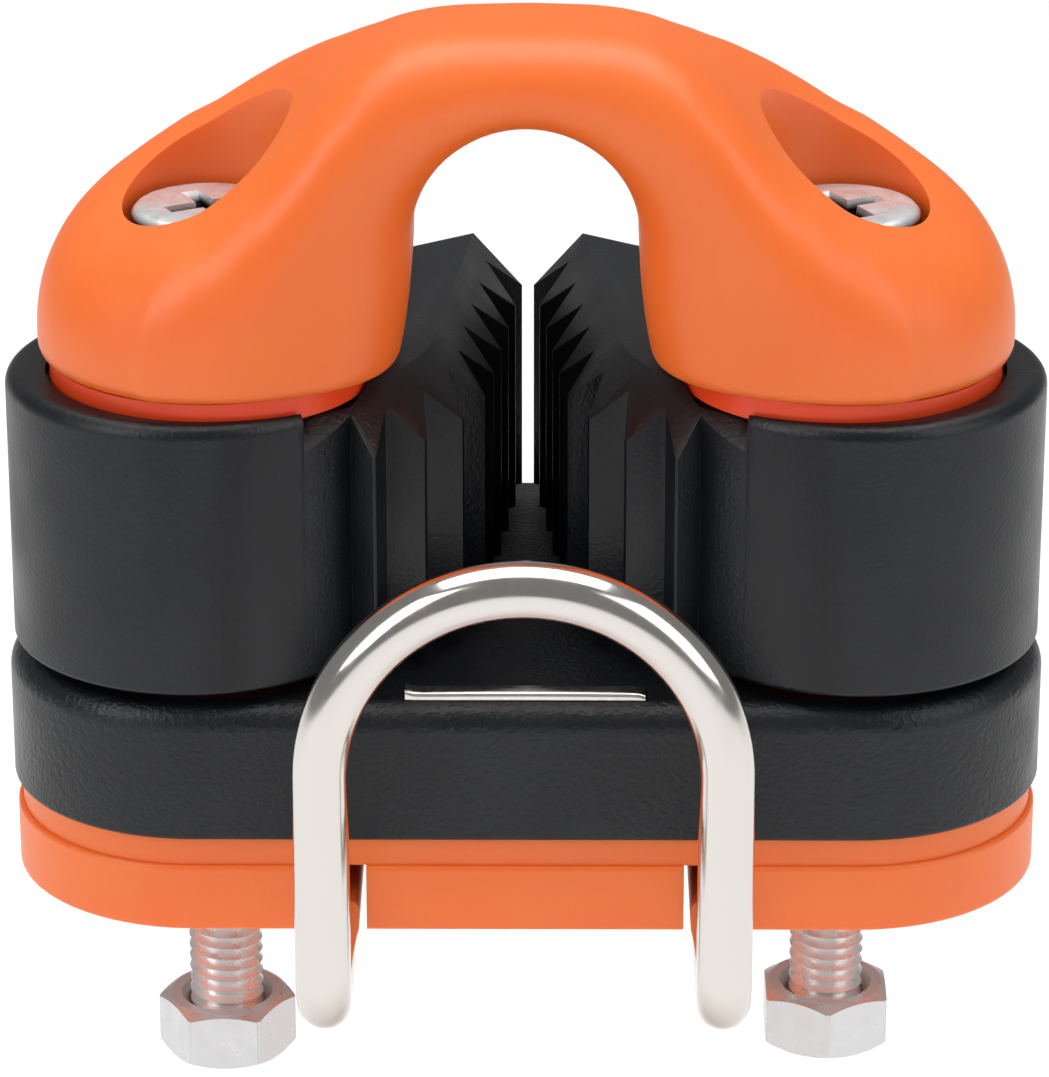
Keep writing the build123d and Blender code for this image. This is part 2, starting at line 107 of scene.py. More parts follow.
def smoothShade(mesh, angle=math.radians(35)):
    # smooth faces with sharp edges where two of them meet at more than the angle
    mesh.shade_smooth()
    mesh.set_sharp_from_angle(angle=angle)


def mergedCopy(node):
    # the CAD node's mesh is loose triangles, so its doubles are merged in a copy
    bm = bmesh.new()
    bm.from_mesh(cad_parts[node].data)
    bmesh.ops.remove_doubles(bm, verts=bm.verts, dist=0.0005 * mm)
    bmesh.ops.dissolve_limit(
        bm, angle_limit=math.radians(0.4), verts=bm.verts, edges=bm.edges,
    )
    mesh = bpy.data.meshes.new(node)
    bm.to_mesh(mesh)
    bm.free()
    return mesh


def turned(profile, steps=96):
    # revolves a closed (radius, height) profile about Z, in mm; its first and last points lie on the axis
    bm = bmesh.new()
    rings = []
    for radius, height in profile:
        if radius == 0:
            rings.append([bm.verts.new((0, 0, height * mm))])
            continue
        rings.append([
            bm.verts.new((
                radius * mm * math.cos(2 * math.pi * i / steps),
                radius * mm * math.sin(2 * math.pi * i / steps),
                height * mm,
            ))
            for i in range(steps)
        ])
    for lower, upper in zip(rings, rings[1:]):
        for i in range(steps):
            j = (i + 1) % steps
            corners = [
                lower[i % len(lower)], lower[j % len(lower)],
                upper[j % len(upper)], upper[i % len(upper)],
            ]
            bm.faces.new(list(dict.fromkeys(corners)))
    bmesh.ops.recalc_face_normals(bm, faces=bm.faces)
    mesh = bpy.data.meshes.new("turned")
    bm.to_mesh(mesh)
    bm.free()
    return mesh


# materials
# moulded orange nylon: satin, slightly translucent, with the faint pebble of a spark-eroded mould
orangeNylon, tree, shader, place = newMaterial("mouldedOrangeNylon", {
    "Base Color": toLinear("#ee7029"),
    "Roughness": 0.42,
    "IOR": 1.53,
    "Subsurface Weight": 0.35,
    "Subsurface Radius": (1.0, 0.22, 0.06),
    "Subsurface Scale": 1.6 * mm,
})
pebble = addNode(
    tree, "ShaderNodeTexNoise", {},
    {"Scale": 1 / (0.45 * mm), "Detail": 2.0}, {"Vector": place},
)
cloud = addNode(
    tree, "ShaderNodeTexNoise", {},
    {"Scale": 1 / (7 * mm), "Detail": 2.0}, {"Vector": place},
)
tone = addNode(tree, "ShaderNodeMix", {"data_type": "RGBA"}, {}, {"Factor": cloud.outputs["Fac"]})
tone.inputs["A"].default_value = toLinear("#ec6a24")
tone.inputs["B"].default_value = toLinear("#f0762d")
tree.links.new(tone.outputs["Result"], shader.inputs["Base Color"])
relief = addNode(
    tree, "ShaderNodeBump", {},
    {"Strength": 0.5, "Distance": 0.035 * mm},
    {"Height": pebble.outputs["Fac"]},
)
tree.links.new(relief.outputs["Normal"], shader.inputs["Normal"])

# moulded orange-red acetal of the races: a little glossier and deeper in colour
raceAcetal, tree, shader, place = newMaterial("mouldedOrangeAcetal", {
    "Base Color": toLinear("#ee4a1c"),
    "Roughness": 0.38,
    "IOR": 1.48,
    "Subsurface Weight": 0.3,
    "Subsurface Radius": (1.0, 0.15, 0.05),
    "Subsurface Scale": 1.0 * mm,
})
pebble = addNode(
    tree, "ShaderNodeTexNoise", {},
    {"Scale": 1 / (0.4 * mm)}, {"Vector": place},
)
relief = addNode(
    tree, "ShaderNodeBump", {},
    {"Strength": 0.25, "Distance": 0.015 * mm},
    {"Height": pebble.outputs["Fac"]},
)
tree.links.new(relief.outputs["Normal"], shader.inputs["Normal"])


def blackNylon(name, grain, depth, roughness):
    # glass-filled black nylon, moulded: short fibres at the skin give a fine dull sparkle
    material, tree, shader, place = newMaterial(name, {
        "Base Color": toLinear("#0b0e13"),
        "Roughness": roughness,
        "IOR": 1.55,
        "Specular IOR Level": 0.34,
    })
    skin = addNode(
        tree, "ShaderNodeTexNoise", {},
        {"Scale": 1 / (grain * mm), "Detail": 3.0, "Roughness": 0.6}, {"Vector": place},
    )
    patch = addNode(
        tree, "ShaderNodeTexNoise", {},
        {"Scale": 1 / (5 * mm), "Detail": 2.0}, {"Vector": place},
    )
    dull = addNode(
        tree, "ShaderNodeMapRange", {},
        {"From Min": 0.3, "From Max": 0.7, "To Min": roughness - 0.05, "To Max": roughness + 0.08},
        {"Value": patch.outputs["Fac"]},
    )
    tree.links.new(dull.outputs["Result"], shader.inputs["Roughness"])
    relief = addNode(
        tree, "ShaderNodeBump", {},
        {"Strength": 0.6, "Distance": depth * mm},
        {"Height": skin.outputs["Fac"]},
    )
    tree.links.new(relief.outputs["Normal"], shader.inputs["Normal"])
    return material


camNylon = blackNylon("glassFilledNylonFine", 0.3, 0.07, 0.36)
baseNylon = blackNylon("glassFilledNylonCoarse", 0.4, 0.16, 0.34)


def stainless(name, colour, roughness, scratch, depth, metallic=1.0):
    # stainless steel: a metal's own reflections, broken up by fine marks of its working
    material, tree, shader, place = newMaterial(name, {
        "Base Color": toLinear(colour),
        "Metallic": metallic,
        "Roughness": roughness,
    })
    marks = addNode(
        tree, "ShaderNodeTexNoise", {},
        {"Scale": 1 / (scratch * mm), "Detail": 3.0}, {"Vector": place},
    )
    dull = addNode(
        tree, "ShaderNodeMapRange", {},
        {"From Min": 0.3, "From Max": 0.7, "To Min": roughness * 0.75, "To Max": roughness * 1.35},
        {"Value": marks.outputs["Fac"]},
    )
    tree.links.new(dull.outputs["Result"], shader.inputs["Roughness"])
    relief = addNode(
        tree, "ShaderNodeBump", {},
        {"Strength": 0.3, "Distance": depth * mm},
        {"Height": marks.outputs["Fac"]},
    )
    tree.links.new(relief.outputs["Normal"], shader.inputs["Normal"])
    return material


wireSteel = stainless("polishedStainlessWire", "#d3cfc9", 0.14, 1.4, 0.006)
# a passivated or plated skin scatters part of the light, so these two are not fully mirror-like
screwSteel = stainless("coldFormedStainless", "#e6e8e9", 0.3, 0.9, 0.002, 0.6)
# painted shade: the driver recess is darkened in the base colour, by height below the head's top, to
# stand for the shade inside it
shader = screwSteel.node_tree.nodes["Principled BSDF"]
tree = screwSteel.node_tree
place = addNode(tree, "ShaderNodeTexCoord").outputs["Object"]
split = addNode(tree, "ShaderNodeSeparateXYZ", links={"Vector": place})
inRecess = addNode(
    tree, "ShaderNodeMapRange", {},
    {"From Min": 45.0 * mm, "From Max": 44.6 * mm, "To Min": 0.0, "To Max": 1.0},
    {"Value": split.outputs["Z"]},
)
inHead = addNode(
    tree, "ShaderNodeMath", {"operation": "GREATER_THAN"}, {1: 43.3 * mm}, {0: split.outputs["Z"]},
)
# painted shade mask: inside the head and below its top, where the recess is darkened
recessShadeMask = addNode(
    tree, "ShaderNodeMath", {"operation": "MULTIPLY"}, {},
    {0: inRecess.outputs["Result"], 1: inHead.outputs[0]},
)
# mixes the painted shade colour into the recess
shade = addNode(tree, "ShaderNodeMix", {"data_type": "RGBA"}, {}, {"Factor": recessShadeMask.outputs[0]})
shade.inputs["A"].default_value = toLinear("#e6e8e9")
shade.inputs["B"].default_value = toLinear("#20140e")
tree.links.new(shade.outputs["Result"], shader.inputs["Base Color"])
stripSteel = stainless("rolledStainlessStrip", "#dddcd8", 0.2, 0.35, 0.004)
nutSteel = stainless("zincPlatedNut", "#d4d5d6", 0.34, 0.9, 0.002, 0.6)
ballSteel = stainless("groundBallSteel", "#e3e3e3", 0.08, 0.8, 0.001)
springSteel = stainless("drawnSpringWire", "#b9b9b6", 0.28, 0.3, 0.003)
print("materials ready")

# fairlead: one smooth body, worked out as a rounded field and skinned
fairleadSizes = {
    "footCentre": 20.0,
    "footRadius": 11.0,
    "halfDepth": 6.9,
    "waistBlend": 6.0,
    "bottom": 35.5,
    "bottomEdge": 1.3,
    "topEdge": 4.9,
    "archRadius": 7.1,
    "archCentre": 44.1,
    "archFlare": 0.014,
    "archEdge": 4.2,
    "forwardTilt": 0.236,  # rise of the foot's top for each mm to the back
    "tiltFrom": 8.0,
    "tiltTo": 17.0,
    "gridStep": 0.42,
    "wellRadius": 5.4,
    "wellFloor": 42.6,
    "holeRadius": 2.75,
}
# height of the top in the screws' plane, by distance from the middle
ridgeAt = [0, 4, 6, 8.1, 10.5, 12.9, 14.7, 16.65, 20, 25.3, 29, 33]
ridgeHeight = [57.4, 57.3, 57.1, 56.6, 55.4, 53.6, 51.9, 50.1, 47.65, 45.2, 43.85, 42.1]


def softMax(a, b, width):
    h = np.maximum(width - np.abs(a - b), 0) / width
    return np.maximum(a, b) + h * h * width / 4


def softMin(a, b, width):
    return -softMax(-a, -b, width)


ridgeFine = np.linspace(0, 33, 331)
ridgeSmooth = np.interp(ridgeFine, ridgeAt, ridgeHeight)
for _ in range(60):
    ridgeSmooth[1:-1] = (ridgeSmooth[:-2] + 2 * ridgeSmooth[1:-1] + ridgeSmooth[2:]) / 4
    ridgeSmooth[0] = ridgeSmooth[1]


def fairleadField(points):
    s = fairleadSizes
    x, y, z = np.abs(points[:, 0]), points[:, 1], points[:, 2]
    round_ = np.hypot(x - s["footCentre"], y) - s["footRadius"]
    bar = np.maximum(np.abs(y) - s["halfDepth"], x - s["footCentre"])
    plan = softMin(round_, bar, s["waistBlend"])
    share = np.clip((x - s["tiltFrom"]) / (s["tiltTo"] - s["tiltFrom"]), 0, 1)
    tilt = s["forwardTilt"] * share * share * (3 - 2 * share)
    ridge = np.interp(x, ridgeFine, ridgeSmooth)
    slope = np.interp(x, ridgeFine, np.gradient(ridgeSmooth, ridgeFine))
    top = (z - ridge - tilt * y) / np.sqrt(1 + slope * slope + tilt * tilt)
    low = np.minimum(z - s["archCentre"], 0)
    arch = np.hypot(x, np.maximum(z - s["archCentre"], 0)) - s["archRadius"] - s["archFlare"] * low * low
    body = softMax(plan, top, s["topEdge"])
    body = softMax(body, -arch, s["archEdge"])
    return softMax(body, s["bottom"] - z, s["bottomEdge"])


def slopeOf(field, points):
    gap = 0.01
    steps = np.eye(3) * gap
    return np.stack([(field(points + d) - field(points - d)) / (2 * gap) for d in steps], axis=1)


def skinned(field, low, high, step):
    # a quad skin on the field's zero level, from the grid cells that it crosses
    axes = [np.arange(l, h + step, step) for l, h in zip(low, high)]
    grid = np.stack(np.meshgrid(*axes, indexing="ij"), axis=-1)
    shape = grid.shape[:3]
    value = field(grid.reshape(-1, 3)).reshape(shape)
    inside = value < 0
    cell = tuple(n - 1 for n in shape)
    corners = [
        inside[i:i + cell[0], j:j + cell[1], k:k + cell[2]]
        for i in (0, 1) for j in (0, 1) for k in (0, 1)
    ]
    count = sum(c.astype(int) for c in corners)
    used = (count > 0) & (count < 8)
    number = -np.ones(cell, dtype=int)
    number[used] = np.arange(used.sum())
    points = grid[:-1, :-1, :-1][used] + step / 2
    for _ in range(6):
        slope = slopeOf(field, points)
        move = field(points)[:, None] * slope / np.maximum((slope ** 2).sum(1), 0.2)[:, None]
        points = points - np.clip(move, -step, step)
    faces = []
    for axis in range(3):
        other = [a for a in range(3) if a != axis]
        first = [slice(1, -1)] * 3
        first[axis] = slice(0, -1)
        second = list(first)
        second[axis] = slice(1, None)
        a, b = inside[tuple(first)], inside[tuple(second)]
        crossed = np.argwhere(a != b)
        leaving = a[tuple(crossed.T)]
        start = crossed.copy()
        start[:, other[0]] += 1
        start[:, other[1]] += 1
        around = []
        for p, q in ((0, 0), (1, 0), (1, 1), (0, 1)):
            at = start.copy()
            at[:, other[0]] -= p
            at[:, other[1]] -= q
            around.append(number[tuple(at.T)])
        quads = np.stack(around, axis=1)
        flip = leaving if axis != 1 else ~leaving
        quads[flip] = quads[flip][:, ::-1]
        faces.append(quads)
    faces = np.concatenate(faces)
    return points, faces[(faces >= 0).all(1)]


def evened(points, faces, field, rounds):
    # evens out the quads, then puts the points back on the field
    edges = np.concatenate([faces[:, [i, (i + 1) % 4]] for i in range(4)])
    for _ in range(rounds):
        total = np.zeros_like(points)
        count = np.zeros(len(points))
        np.add.at(total, edges[:, 0], points[edges[:, 1]])
        np.add.at(count, edges[:, 0], 1)
        points = 0.5 * points + 0.5 * total / count[:, None]
        for _ in range(2):
            slope = slopeOf(field, points)
            points = points - field(points)[:, None] * slope / (slope ** 2).sum(1)[:, None]
    return points


def meshFrom(points, faces):
    mesh = bpy.data.meshes.new("skin")
    mesh.from_pydata((points * mm).tolist(), [], faces.tolist())
    bm = bmesh.new()
    bm.from_mesh(mesh)
    bmesh.ops.recalc_face_normals(bm, faces=bm.faces)
    bm.to_mesh(mesh)
    bm.free()
    return mesh


s = fairleadSizes
points, faces = skinned(fairleadField, (-32, -12.5, 34.5), (32, 12.5, 59), s["gridStep"])
points = evened(points, faces, fairleadField, 4)
skin = meshFrom(points, faces)
wellProfile = [
    (0, s["bottom"] - 2), (s["holeRadius"], s["bottom"] - 2), (s["holeRadius"], s["wellFloor"]),
    (s["wellRadius"] - 0.5, s["wellFloor"]), (s["wellRadius"], s["wellFloor"] + 0.5),
    (s["wellRadius"], 60), (0, 60),
]
cutters = []
for side in sides.values():
    cutter = bpy.data.objects.new("wellCutter", turned(wellProfile, 128))
    cutter.data.transform(Matrix.Translation((side * s["footCentre"] * mm, 0, 0)))
    bpy.context.scene.collection.objects.link(cutter)
    cutters.append(cutter)
skin = settled(skin, [
    ("BOOLEAN", {"operation": "DIFFERENCE", "object": cutter, "solver": "EXACT"}) for cutter in cutters
])
for cutter in cutters:
    bpy.data.objects.remove(cutter)
smoothShade(skin, math.radians(38))
asPiece("fairleadBridge", skin, "root", orangeNylon, ["fairlead"])
print("fairlead:", len(skin.polygons), "faces")

# pieces that keep their CAD shape
for node, material in (
    ("carrier", orangeNylon), ("base", baseNylon),
    ("left_hub", raceAcetal), ("right_hub", raceAcetal),
    ("left_race_cap", raceAcetal), ("right_race_cap", raceAcetal),
):
    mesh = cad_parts[node].data
    mesh.materials.clear()
    mesh.materials.append(material)

# cams: the CAD shape with the small roundings of a moulding on every edge
camEdge = {"width": 0.16, "segments": 2, "from": 28}
for name in sides:
    mesh = settled(mergedCopy(name + "_cam"), [("BEVEL", {
        "width": camEdge["width"] * mm,
        "segments": camEdge["segments"],
        "limit_method": "ANGLE",
        "angle_limit": math.radians(camEdge["from"]),
        "use_clamp_overlap": True,
        "harden_normals": False,
    })])
    smoothShade(mesh, math.radians(40))
    asPiece(name + "Cam", mesh, name + "_cam", camNylon, [name + "_cam"])
    print(name, "cam:", len(mesh.polygons), "faces")


# Geometry Nodes trees: wire along a path, screw thread, ring of balls
def newTree(name, sockets):
    tree = bpy.data.node_groups.new(name, "GeometryNodeTree")
    for label, kind, direction in sockets:
        tree.interface.new_socket(label, in_out=direction, socket_type=kind)
    return tree, addNode(tree, "NodeGroupInput"), addNode(tree, "NodeGroupOutput")


def finished(tree, geometry, material, out):
    # ends a tree: real geometry, smooth, with its material
    real = addNode(tree, "GeometryNodeRealizeInstances", links={"Geometry": geometry})
    paint = addNode(tree, "GeometryNodeSetMaterial", links={
        "Geometry": real.outputs["Geometry"], "Material": material,
    })
    tree.links.new(paint.outputs["Geometry"], out.inputs["Geometry"])


def grown(tree, values, source=None):
    # runs a tree with the given input values and returns the plain mesh
    holder = bpy.data.objects.new("grower", source or bpy.data.meshes.new("grower"))
    bpy.context.scene.collection.objects.link(holder)
    modifier = holder.modifiers.new("grower", "NODES")
    modifier.node_group = tree
    for item in tree.interface.items_tree:
        if item.in_out == "INPUT" and item.name in values:
            modifier[item.identifier] = values[item.name]
    graph = bpy.context.evaluated_depsgraph_get()
    mesh = bpy.data.meshes.new_from_object(holder.evaluated_get(graph), depsgraph=graph)
    bpy.data.objects.remove(holder)
    return mesh


def wireTree():
    tree, ins, out = newTree("wireAlongPath", [
        ("Geometry", "NodeSocketGeometry", "INPUT"), ("Wire Radius", "NodeSocketFloat", "INPUT"),
        ("Sides", "NodeSocketInt", "INPUT"), ("Material", "NodeSocketMaterial", "INPUT"),
        ("Geometry", "NodeSocketGeometry", "OUTPUT"),
    ])
    section = addNode(tree, "GeometryNodeCurvePrimitiveCircle", links={
        "Radius": ins.outputs["Wire Radius"], "Resolution": ins.outputs["Sides"],
    })
    wire = addNode(tree, "GeometryNodeCurveToMesh", values={"Fill Caps": True}, links={
        "Curve": ins.outputs["Geometry"], "Profile Curve": section.outputs["Curve"],
    })
    finished(tree, wire.outputs["Mesh"], ins.outputs["Material"], out)
    return tree


def threadTree():
    tree, ins, out = newTree("screwThread", [
        ("Crest Radius", "NodeSocketFloat", "INPUT"), ("Depth", "NodeSocketFloat", "INPUT"),
        ("Turns", "NodeSocketFloat", "INPUT"), ("Length", "NodeSocketFloat", "INPUT"),
        ("Material", "NodeSocketMaterial", "INPUT"), ("Geometry", "NodeSocketGeometry", "OUTPUT"),
    ])
    root = addNode(tree, "ShaderNodeMath", {"operation": "SUBTRACT"})
    tree.links.new(ins.outputs["Crest Radius"], root.inputs[0])
    tree.links.new(ins.outputs["Depth"], root.inputs[1])
    spiral = addNode(tree, "GeometryNodeCurveSpiral", values={"Resolution": 48}, links={
        "Rotations": ins.outputs["Turns"], "Start Radius": root.outputs[0],
        "End Radius": root.outputs[0], "Height": ins.outputs["Length"],
    })
    upright = addNode(tree, "GeometryNodeSetCurveNormal", {"mode": "Z_UP"}, links={
        "Curve": spiral.outputs["Curve"],
    })
    ridge = addNode(tree, "GeometryNodeCurvePrimitiveCircle", values={"Resolution": 4}, links={
        "Radius": ins.outputs["Depth"],
    })
    thread = addNode(tree, "GeometryNodeCurveToMesh", values={"Fill Caps": True}, links={
        "Curve": upright.outputs["Curve"], "Profile Curve": ridge.outputs["Curve"],
    })
    finished(tree, thread.outputs["Mesh"], ins.outputs["Material"], out)
    return tree


def ballTree():
    tree, ins, out = newTree("ballRing", [
        ("Pitch Radius", "NodeSocketFloat", "INPUT"), ("Ball Radius", "NodeSocketFloat", "INPUT"),
        ("Count", "NodeSocketInt", "INPUT"), ("Material", "NodeSocketMaterial", "INPUT"),
        ("Geometry", "NodeSocketGeometry", "OUTPUT"),
    ])
    ring = addNode(tree, "GeometryNodeMeshCircle", links={
        "Vertices": ins.outputs["Count"], "Radius": ins.outputs["Pitch Radius"],
    })
    ball = addNode(tree, "GeometryNodeMeshIcoSphere", values={"Subdivisions": 4}, links={
        "Radius": ins.outputs["Ball Radius"],
    })
    soft = addNode(tree, "GeometryNodeSetShadeSmooth", links={"Geometry": ball.outputs["Mesh"]})
    balls = addNode(tree, "GeometryNodeInstanceOnPoints", links={
        "Points": ring.outputs["Mesh"], "Instance": soft.outputs["Geometry"],
    })
    finished(tree, balls.outputs["Instances"], ins.outputs["Material"], out)
    return tree


def pathCurve(points):
    curve = bpy.data.curves.new("path", "CURVE")
    curve.dimensions = "3D"
    spline = curve.splines.new("POLY")
    spline.points.add(len(points) - 1)
    for slotAt, (x, y, z) in zip(spline.points, points):
        slotAt.co = (x * mm, y * mm, z * mm, 1)
    return curve


def arc(centre, first, second, start, stop, steps):
    # points on an arc about centre, from first towards second, both as radius vectors
    return [
        tuple(c + a * math.cos(t) + b * math.sin(t) for c, a, b in zip(centre, first, second))
        for t in (math.radians(start + (stop - start) * i / steps) for i in range(steps + 1))
    ]


def joined(parts):
    # one mesh out of several, each with its shift in mm
    bm = bmesh.new()
    for mesh, shift in parts:
        copy = mesh.copy()
        copy.transform(Matrix.Translation(Vector(shift) * mm))
        bm.from_mesh(copy)
        bpy.data.meshes.remove(copy)
    mesh = bpy.data.meshes.new("joined")
    bm.to_mesh(mesh)
    bm.free()
    return mesh


wires, threads, balls = wireTree(), threadTree(), ballTree()

# bail: one polished wire, from the eye round one screw over the hoop to the other eye
bailSizes = {
    "wire": 1.7, "front": -27.4, "halfWidth": 12.2, "apex": 30.3, "rise": 1.75,
    "footBend": 3.5, "tailBend": 3.4, "eye": 4.4, "wrap": 200, "sides": 64,
}
b = bailSizes
hoop = arc(
    (0, b["front"], b["apex"] - b["halfWidth"]),
    (0, 0, b["halfWidth"]), (b["halfWidth"], 0, 0), 0, 90, 48,
)
foot = arc(
    (b["halfWidth"], b["front"] + b["footBend"], b["rise"] + b["footBend"]),
    (0, -b["footBend"], 0), (0, 0, -b["footBend"]), 0, 90, 16,
)
turn = arc(
    (b["halfWidth"] + b["tailBend"], b["eye"] - b["tailBend"], b["rise"]),
    (-b["tailBend"], 0, 0), (0, b["tailBend"], 0), 0, 90, 16,
)
eye = arc((screwAt, 0, b["rise"]), (0, b["eye"], 0), (b["eye"], 0, 0), 0, b["wrap"], 40)
half = hoop + foot + turn + eye
path = [(-x, y, z) for x, y, z in half[:0:-1]] + half
bail = grown(wires, {
    "Wire Radius": b["wire"] * mm, "Sides": b["sides"], "Material": wireSteel,
}, pathCurve(path))
smoothShade(bail, math.radians(50))
asPiece("wireBail", bail, "root", wireSteel, ["wire_bail"])

# wear strip: rolled steel strip with its ends turned out of their groove
stripSizes = {
    "halfLength": 7.6, "front": -10.2, "back": -8.8, "bottom": 15.1, "top": 16.05,
    "corner": 0.28, "crown": 0.05,
    "flareFrom": 0.9,  # share of the half length where the turned end starts
    "leftLift": 0.22, "rightLift": -0.132,
}
w = stripSizes
stations = [-1, -0.985, -0.965, -0.93, -0.85, -0.5, 0, 0.5, 0.85, 0.93, 0.965, 0.985, 1]
bm = bmesh.new()
loops = []
for share in stations:
    flare = max(0, (abs(share) - w["flareFrom"]) / (1 - w["flareFrom"])) ** 2
    rise = flare * (w["leftLift"] if share < 0 else w["rightLift"])
    ring = []
    for cornerY, cornerZ, first in (
        (w["back"], w["top"], 0), (w["front"], w["top"], 90),
        (w["front"], w["bottom"], 180), (w["back"], w["bottom"], 270),
    ):
        inY = cornerY + (w["corner"] if cornerY == w["front"] else -w["corner"])
        inZ = cornerZ + (w["corner"] if cornerZ == w["bottom"] else -w["corner"])
        for step in range(5):
            angle = math.radians(first + 22.5 * step)
            crown = w["crown"] * (1 - share * share) if cornerZ == w["top"] else 0
            ring.append(bm.verts.new((
                share * w["halfLength"] * mm,
                (inY + w["corner"] * math.cos(angle)) * mm,
                (inZ + w["corner"] * math.sin(angle) + crown + (rise if cornerZ == w["top"] else 0)) * mm,
            )))
    loops.append(ring)
for first, second in zip(loops, loops[1:]):
    for i in range(len(first)):
        j = (i + 1) % len(first)
        bm.faces.new((first[i], first[j], second[j], second[i]))
bm.faces.new(loops[0])
bm.faces.new(loops[-1])
bmesh.ops.recalc_face_normals(bm, faces=bm.faces)
strip = bpy.data.meshes.new("strip")
bm.to_mesh(strip)
bm.free()
smoothShade(strip, math.radians(50))
asPiece("wearStrip", strip, "root", stripSteel, ["wear_strip"])

# screws: pan head with a cross recess, reduced shank, rolled thread
screwSizes = {
    "headRadius": 4.9, "headSeat": 42.6, "headTop": 45.2, "shank": 2.24, "crest": 2.44, "depth": 0.41,
    "pitch": 0.8, "threadTop": 0.2,
    "recessLength": 5.6, "recessWidth": 1.2, "recessDepth": 1.7, "recessTurn": 28,
}
nutSizes = {
    "flats": 8.0, "height": 4.0, "endCover": 1.2,
    "grip": {"left": 10.1, "right": 9.2}, "turn": {"left": 0, "right": 30},
}


def crossCutter(length, width, depth, top, turnBy):
    # two tapered slots, wider at the top than at the bottom
    bm = bmesh.new()
    for quarter in (0, 90):
        corners = []
        for height, share in ((top + 0.5, 1.12), (top - depth, 0.55)):
            for sx, sy in ((-1, -1), (1, -1), (1, 1), (-1, 1)):
                corners.append(bm.verts.new((
                    sx * length / 2 * share * mm,
                    sy * width / 2 * (0.4 + 0.6 * share) * mm,
                    height * mm,
                )))
        for face in ((0, 1, 2, 3), (7, 6, 5, 4), (0, 4, 5, 1), (1, 5, 6, 2), (2, 6, 7, 3), (3, 7, 4, 0)):
            bm.faces.new([corners[i] for i in face])
        spin = Matrix.Rotation(math.radians(quarter + turnBy), 3, "Z")
        bmesh.ops.rotate(bm, verts=corners, matrix=spin, cent=(0, 0, 0))
    bmesh.ops.recalc_face_normals(bm, faces=bm.faces)
    mesh = bpy.data.meshes.new("cutter")
    bm.to_mesh(mesh)
    bm.free()
    return mesh


def cutBy(mesh, tools):
    # booleans on one mesh: each tool is (mesh, operation)
    holders = []
    for tool, operation in tools:
        holder = bpy.data.objects.new("tool", tool)
        bpy.context.scene.collection.objects.link(holder)
        holders.append((holder, operation))
    result = settled(mesh, [
        ("BOOLEAN", {"operation": operation, "object": holder, "solver": "EXACT", "use_self": True})
        for holder, operation in holders
    ])
    for holder, _ in holders:
        bpy.data.objects.remove(holder)
    return result


def hexPrism(flats, low, high, turnBy):
    bm = bmesh.new()
    reach = flats / 2 / math.cos(math.radians(30))
    rings = []
    for height in (low, high):
        rings.append([
            bm.verts.new((reach * mm * math.cos(a), reach * mm * math.sin(a), height * mm))
            for a in (math.radians(60 * i + turnBy) for i in range(6))
        ])
    for i in range(6):
        bm.faces.new((rings[0][i], rings[0][(i + 1) % 6], rings[1][(i + 1) % 6], rings[1][i]))
    bm.faces.new(rings[0][::-1])
    bm.faces.new(rings[1])
    upright = [e for e in bm.edges if abs(e.verts[0].co.z - e.verts[1].co.z) > 0.1 * mm]
    bmesh.ops.bevel(bm, geom=upright, offset=0.14 * mm, segments=3, affect="EDGES")
    mesh = bpy.data.meshes.new("hex")
    bm.to_mesh(mesh)
    bm.free()
    return mesh


c = screwSizes
for name, side in sides.items():
    grip = nutSizes["grip"][name]
    low = -grip - nutSizes["height"]
    end = low + nutSizes["endCover"]
    head = turned([
        (0, c["headSeat"]), (c["headRadius"], c["headSeat"]), (c["headRadius"], c["headTop"] - 0.75),
        (c["headRadius"] - 0.1, c["headTop"] - 0.4), (c["headRadius"] - 0.35, c["headTop"] - 0.12),
        (c["headRadius"] - 0.75, c["headTop"]), (0, c["headTop"]),
    ], 96)
    cross = crossCutter(
        c["recessLength"], c["recessWidth"], c["recessDepth"], c["headTop"], c["recessTurn"],
    )
    head = cutBy(head, [(cross, "DIFFERENCE")])
    core = c["crest"] - c["depth"]
    shank = turned([
        (0, end), (core - 0.2, end), (core, end + 0.2), (core, c["threadTop"]),
        (c["shank"], c["threadTop"] + 0.4), (c["shank"], c["headSeat"] + 0.2),
        (0, c["headSeat"] + 0.2),
    ], 64)
    length = c["threadTop"] - end - c["depth"]
    thread = grown(threads, {
        "Crest Radius": c["crest"] * mm, "Depth": c["depth"] * mm, "Turns": length / c["pitch"],
        "Length": length * mm, "Material": screwSteel,
    })
    screw = joined([
        (head, (side * screwAt, 0, 0)), (shank, (side * screwAt, 0, 0)),
        (thread, (side * screwAt, 0, end + c["depth"])),
    ])
    smoothShade(screw, math.radians(32))
    asPiece(name + "Screw", screw, "root", screwSteel, [name + "_screw"])

    top = -grip
    nut = hexPrism(nutSizes["flats"], low, top, nutSizes["turn"][name])
    cone = turned([
        (0, low - 0.3), (3.205, low - 0.3), (4.75, low + 0.55),
        (4.75, top - 0.55), (3.205, top + 0.3), (0, top + 0.3),
    ], 96)
    hole = turned([
        (0, low - 1), (3.55, low - 1), (2.55, low + 0.45), (2.55, top - 0.6),
        (3.05, top), (3.7, top + 1), (0, top + 1),
    ], 96)
    nut = cutBy(nut, [(cone, "INTERSECT"), (hole, "DIFFERENCE")])
    nut.transform(Matrix.Translation((side * screwAt * mm, 0, 0)))
    smoothShade(nut, math.radians(25))
    asPiece(name + "Nut", nut, "root", nutSteel, [name + "_nut"])
print("fasteners ready")

